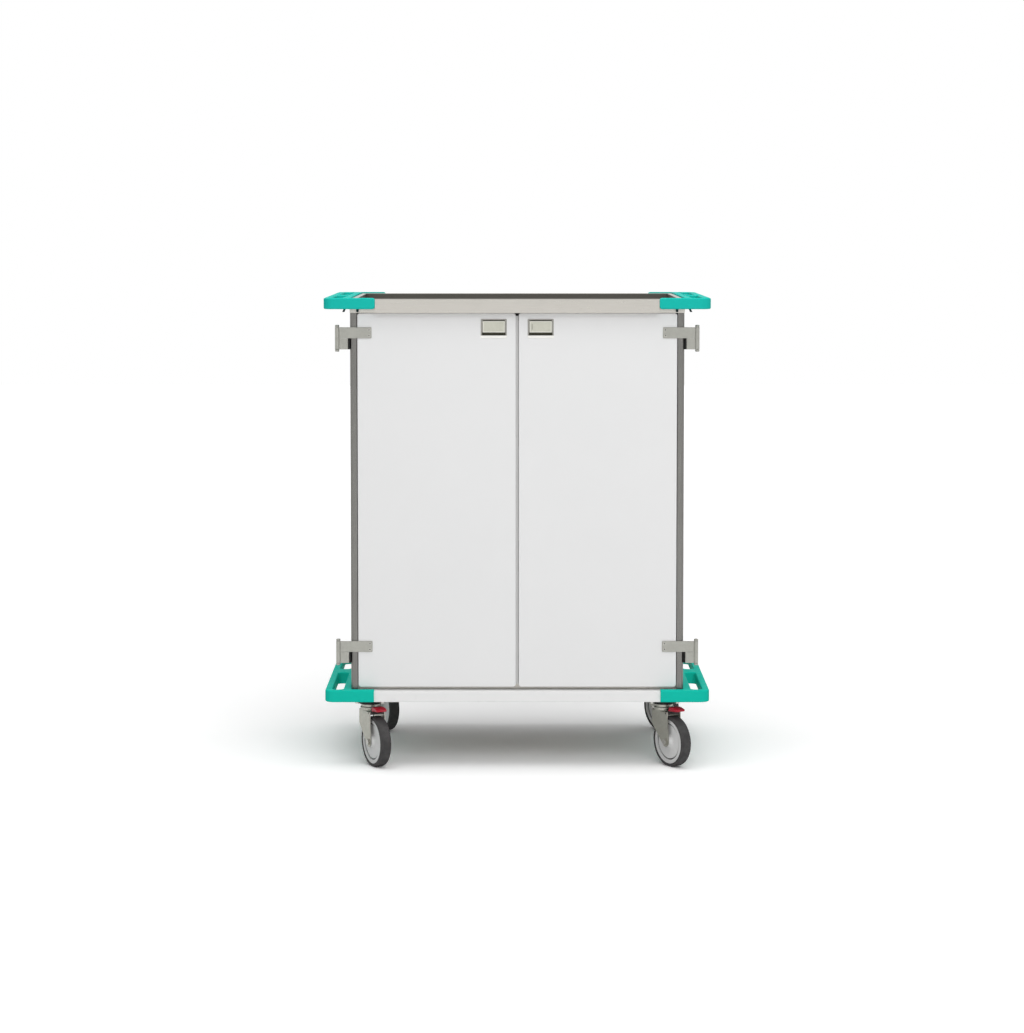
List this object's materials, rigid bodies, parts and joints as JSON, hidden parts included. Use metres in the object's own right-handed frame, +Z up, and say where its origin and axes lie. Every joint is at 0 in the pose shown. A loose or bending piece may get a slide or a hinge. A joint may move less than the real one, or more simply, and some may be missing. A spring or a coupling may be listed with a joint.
{
  "type": "closed case cart",
  "caption": "Closed hospital case cart: two-door cabinet with tray top, flush paddle handles, corner bumpers and swivel casters with brake pedals.",
  "frame": {"origin": "on the floor, below the middle of the box that the cart fills with its casters as they stand", "axes": "+X to the right seen from the doors, +Y towards the back, the doors face -Y, +Z up"},
  "size_m": [1.22, 0.8124, 1.491],
  "materials": {
    "teal_plastic": "moulded, satin",
    "screw_steel": "zinc plated",
    "base_white": "white coated extrusion, satin",
    "chassis_grey": "satin paint",
    "stainless": "brushed along its length",
    "white_panel": "white laminate over a light core",
    "door_white": "white laminate over a light core",
    "liner_grey": "smooth",
    "seal_grey": "extruded bulb seal",
    "magnet": "plain",
    "black_plastic": "moulded",
    "black_steel": "black coated pressing",
    "hinge_steel": "satin cast and bent steel",
    "bezel_metal": "satin die casting",
    "paddle_metal": "satin",
    "fork_zinc": "zinc plated pressing",
    "wheel_grey": "moulded, satin",
    "tyre_black": "grey black tread",
    "pedal_red": "moulded, glossy"
  },
  "bodies": {
    "root": {"back_panel": "white_panel", "base_rails": "base_white", "bracket_screws": "screw_steel", "bumper_bottom_back_left": "teal_plastic", "bumper_bottom_back_right": "teal_plastic", "bumper_bottom_front_left": "teal_plastic", "bumper_bottom_front_right": "teal_plastic", "bumper_screws": "screw_steel", "bumper_top_back_left": "teal_plastic", "bumper_top_back_right": "teal_plastic", "bumper_top_front_left": "teal_plastic", "bumper_top_front_right": "teal_plastic", "caster_bolts": "screw_steel", "caster_mounts": "black_steel", "corner_posts": "stainless", "cross_tubes": "chassis_grey", "door_catches": "magnet", "door_header": "chassis_grey", "floor_panel": "stainless", "hinge_brackets": "hinge_steel", "hinge_pins": "hinge_steel", "hinge_spacers": "black_plastic", "shelf_clips": "stainless", "shelf_lower": "stainless", "shelf_standards": "stainless", "shelf_upper": "stainless", "side_panel_left": "white_panel", "side_panel_right": "white_panel", "top_tray": "stainless"},
    "door_left": {"door_panel_left": "door_white", "door_liner_left": "liner_grey", "hinge_straps_left": "hinge_steel", "strap_screws_left": "screw_steel", "handle_bezel_left": "bezel_metal", "door_seal": "seal_grey"},
    "paddle_left": {"handle_paddle_left": "paddle_metal"},
    "door_right": {"door_panel_right": "door_white", "door_liner_right": "liner_grey", "hinge_straps_right": "hinge_steel", "strap_screws_right": "screw_steel", "handle_bezel_right": "bezel_metal"},
    "paddle_right": {"handle_paddle_right": "paddle_metal"},
    "caster_front_left": {"caster_fork_front_left": "fork_zinc", "wheel_axle_front_left": "screw_steel"},
    "wheel_front_left": {"wheel_core_front_left": "wheel_grey", "wheel_tyre_front_left": "tyre_black"},
    "pedal_front_left": {"brake_pedal_front_left": "pedal_red"},
    "caster_front_right": {"caster_fork_front_right": "fork_zinc", "wheel_axle_front_right": "screw_steel"},
    "wheel_front_right": {"wheel_core_front_right": "wheel_grey", "wheel_tyre_front_right": "tyre_black"},
    "pedal_front_right": {"brake_pedal_front_right": "pedal_red"},
    "caster_back_left": {"caster_fork_back_left": "fork_zinc", "wheel_axle_back_left": "screw_steel"},
    "wheel_back_left": {"wheel_core_back_left": "wheel_grey", "wheel_tyre_back_left": "tyre_black"},
    "caster_back_right": {"caster_fork_back_right": "fork_zinc", "wheel_axle_back_right": "screw_steel"},
    "wheel_back_right": {"wheel_core_back_right": "wheel_grey", "wheel_tyre_back_right": "tyre_black"}
  },
  "joints": [
    {"name": "door_left_swing", "type": "hinge", "parent": "root", "child": "door_left", "pos_m": [-0.568, -0.33226, 0.865], "axis": [0, 0, -1], "range_deg": [0, 270]},
    {"name": "door_right_swing", "type": "hinge", "parent": "root", "child": "door_right", "pos_m": [0.568, -0.33226, 0.865], "axis": [0, 0, 1], "range_deg": [0, 270]},
    {"name": "paddle_left_pull", "type": "hinge", "parent": "door_left", "child": "paddle_left", "pos_m": [-0.074, -0.32896, 1.41455], "axis": [-1, 0, 0], "range_deg": [0, 40], "stiffness_Nm_per_rad": 0.5},
    {"name": "paddle_right_pull", "type": "hinge", "parent": "door_right", "child": "paddle_right", "pos_m": [0.074, -0.32896, 1.41455], "axis": [-1, 0, 0], "range_deg": [0, 40], "stiffness_Nm_per_rad": 0.5},
    {"name": "caster_front_left_swivel", "type": "hinge", "parent": "root", "child": "caster_front_left", "pos_m": [-0.469, -0.28876, 0.19], "axis": [0, 0, 1], "continuous": true},
    {"name": "wheel_front_left_roll", "type": "hinge", "parent": "caster_front_left", "child": "wheel_front_left", "pos_m": [-0.44857, -0.32886, 0.08], "axis": [0.891, 0.454, 0], "continuous": true},
    {"name": "brake_pedal_front_left_press", "type": "hinge", "parent": "caster_front_left", "child": "pedal_front_left", "pos_m": [-0.44812, -0.32975, 0.171], "axis": [0.891, 0.454, 0], "range_deg": [0, 10]},
    {"name": "caster_front_right_swivel", "type": "hinge", "parent": "root", "child": "caster_front_right", "pos_m": [0.469, -0.28876, 0.19], "axis": [0, 0, 1], "continuous": true},
    {"name": "wheel_front_right_roll", "type": "hinge", "parent": "caster_front_right", "child": "wheel_front_right", "pos_m": [0.49351, -0.3265, 0.08], "axis": [0.8387, 0.5446, 0], "continuous": true},
    {"name": "brake_pedal_front_right_press", "type": "hinge", "parent": "caster_front_right", "child": "pedal_front_right", "pos_m": [0.49405, -0.32734, 0.171], "axis": [0.8387, 0.5446, 0], "range_deg": [0, 10]},
    {"name": "caster_back_left_swivel", "type": "hinge", "parent": "root", "child": "caster_back_left", "pos_m": [-0.469, 0.33124, 0.19], "axis": [0, 0, 1], "continuous": true},
    {"name": "wheel_back_left_roll", "type": "hinge", "parent": "caster_back_left", "child": "wheel_back_left", "pos_m": [-0.44857, 0.29114, 0.08], "axis": [0.891, 0.454, 0], "continuous": true},
    {"name": "caster_back_right_swivel", "type": "hinge", "parent": "root", "child": "caster_back_right", "pos_m": [0.469, 0.33124, 0.19], "axis": [0, 0, 1], "continuous": true},
    {"name": "wheel_back_right_roll", "type": "hinge", "parent": "caster_back_right", "child": "wheel_back_right", "pos_m": [0.49351, 0.2935, 0.08], "axis": [0.8387, 0.5446, 0], "continuous": true}
  ]
}
